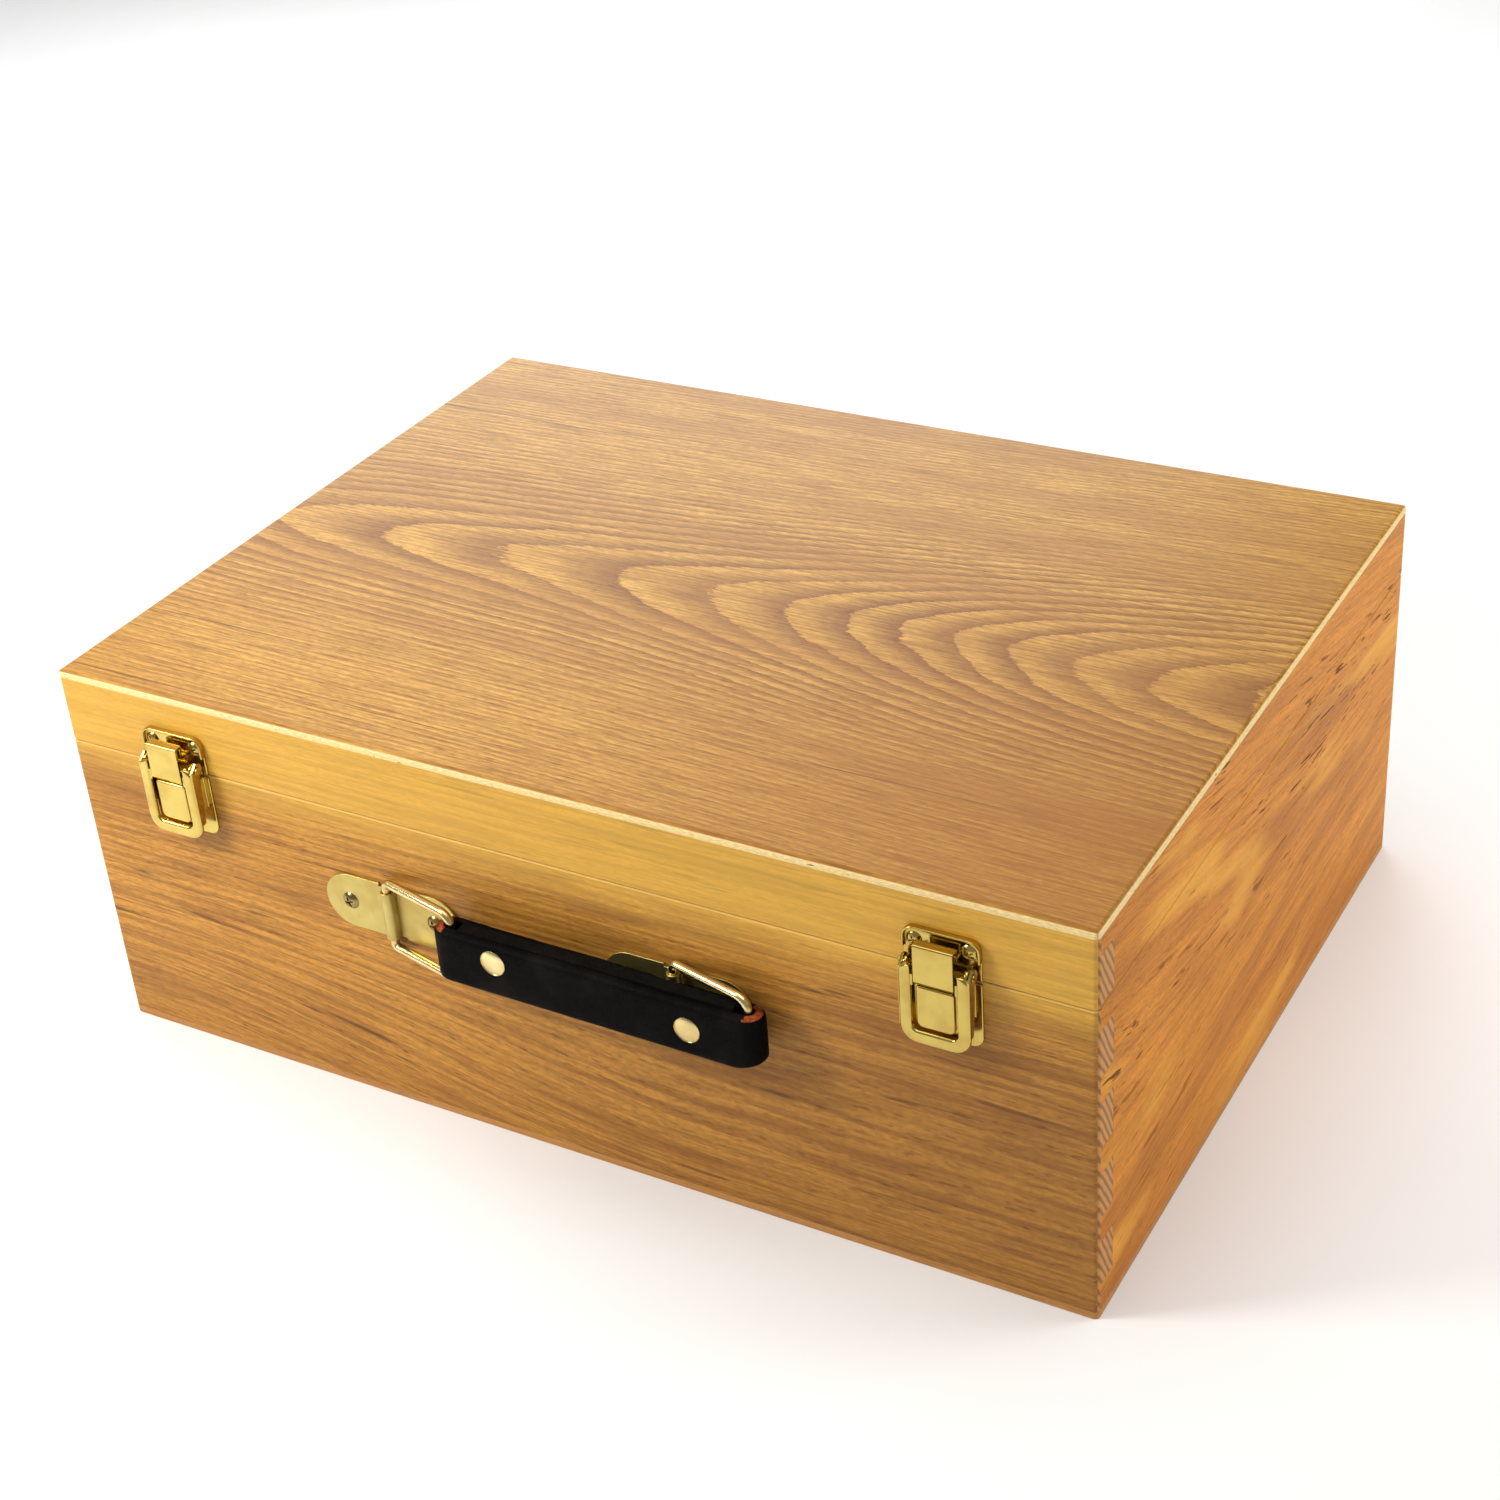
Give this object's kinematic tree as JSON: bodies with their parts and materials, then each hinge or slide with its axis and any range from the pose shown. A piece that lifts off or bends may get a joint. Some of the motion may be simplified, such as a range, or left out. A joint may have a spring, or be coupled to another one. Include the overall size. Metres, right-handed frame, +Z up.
{
  "type": "art supply box",
  "caption": "Finger-jointed wooden art supply box with hinged lid on slotted stays, brass toggle latches and a riveted leather strap handle on swinging rings.",
  "frame": {"origin": "centre of the underside of the bottom panel", "axes": "+X to the right along the front, +Y from the front with the handle to the hinged back, +Z up"},
  "size_m": [0.4, 0.3186, 0.153],
  "materials": {
    "case_wood": "satin varnish",
    "top_veneer": "satin varnish",
    "plywood": "sanded",
    "brass": "polished",
    "leather": "smooth",
    "leather_core": "dyed edge"
  },
  "bodies": {
    "case": {"body_front_board": "case_wood", "body_back_board": "case_wood", "body_left_board": "case_wood", "body_right_board": "case_wood", "bottom_panel": "plywood", "long_divider": "plywood", "short_divider_left": "plywood", "short_divider_right": "plywood", "handle_plate_left": "brass", "handle_plate_right": "brass", "handle_plate_screws": "brass", "latch_base_left": "brass", "latch_base_right": "brass", "latch_base_screws": "brass", "latch_lever_pins": "brass", "hinge_body_leaf_left": "brass", "hinge_body_leaf_right": "brass", "hinge_pin_left": "brass", "hinge_pin_right": "brass", "hinge_body_screws": "brass", "stay_stud_left": "brass", "stay_stud_right": "brass"},
    "lid": {"lid_front_rail": "case_wood", "lid_back_rail": "case_wood", "lid_left_rail": "case_wood", "lid_right_rail": "case_wood", "lid_top_panel": "top_veneer", "latch_catch_left": "brass", "latch_catch_right": "brass", "latch_catch_screws": "brass", "hinge_lid_leaf_left": "brass", "hinge_lid_leaf_right": "brass", "hinge_lid_screws": "brass", "stay_pivot_left": "brass", "stay_pivot_right": "brass"},
    "stay_left": {"stay_arm_left": "brass"},
    "stay_right": {"stay_arm_right": "brass"},
    "lever_left": {"latch_lever_left": "brass", "latch_link_pin_left": "brass"},
    "lever_right": {"latch_lever_right": "brass", "latch_link_pin_right": "brass"},
    "link_left": {"latch_link_left": "brass"},
    "link_right": {"latch_link_right": "brass"},
    "ring_left": {"handle_ring_left": "brass"},
    "ring_right": {"handle_ring_right": "brass"},
    "grip": {"handle_strap": "leather", "handle_strap_filler": "leather_core", "handle_rivets": "brass"}
  },
  "joints": [
    {"name": "lid_hinge", "type": "hinge", "parent": "case", "child": "lid", "pos_m": [0, 0.151, 0.124], "axis": [-1, 0, 0], "range_deg": [0, 100]},
    {"name": "stay_left_pivot", "type": "hinge", "parent": "lid", "child": "stay_left", "pos_m": [-0.187, 0.10272, 0.137], "axis": [-1, 0, 0], "range_deg": [-50, 0]},
    {"name": "stay_right_pivot", "type": "hinge", "parent": "lid", "child": "stay_right", "pos_m": [0.187, 0.10272, 0.137], "axis": [-1, 0, 0], "range_deg": [-50, 0]},
    {"name": "latch_left_lever", "type": "hinge", "parent": "case", "child": "lever_left", "pos_m": [-0.1495, -0.1525, 0.128], "axis": [-1, 0, 0], "range_deg": [0, 110]},
    {"name": "latch_left_link", "type": "hinge", "parent": "lever_left", "child": "link_left", "pos_m": [-0.1495, -0.154, 0.124], "axis": [-1, 0, 0], "range_deg": [-110, 0]},
    {"name": "latch_right_lever", "type": "hinge", "parent": "case", "child": "lever_right", "pos_m": [0.1495, -0.1525, 0.128], "axis": [-1, 0, 0], "range_deg": [0, 110]},
    {"name": "latch_right_link", "type": "hinge", "parent": "lever_right", "child": "link_right", "pos_m": [0.1495, -0.154, 0.124], "axis": [-1, 0, 0], "range_deg": [-110, 0]},
    {"name": "handle_swing", "type": "hinge", "parent": "case", "child": "ring_left", "pos_m": [-0.0625, -0.15046, 0.0865], "axis": [0, 0, -1], "range_deg": [0, 151]},
    {"name": "handle_right_ring", "type": "hinge", "parent": "case", "child": "ring_right", "pos_m": [0.0525, -0.15046, 0.0865], "axis": [0, 0, -1], "range_deg": [0, 151]},
    {"name": "handle_grip_turn", "type": "hinge", "parent": "ring_left", "child": "grip", "pos_m": [-0.03041, -0.15816, 0.0865], "axis": [0, 0, -1], "range_deg": [-151, 0]}
  ],
  "couplings": [
    {"joint": "stay_left_pivot", "follows": "lid_hinge", "ratio": -0.5},
    {"joint": "stay_right_pivot", "follows": "lid_hinge", "ratio": -0.5},
    {"joint": "latch_left_link", "follows": "latch_left_lever", "ratio": -1},
    {"joint": "latch_right_link", "follows": "latch_right_lever", "ratio": -1},
    {"joint": "handle_right_ring", "follows": "handle_swing", "ratio": 1},
    {"joint": "handle_grip_turn", "follows": "handle_swing", "ratio": -1}
  ]
}
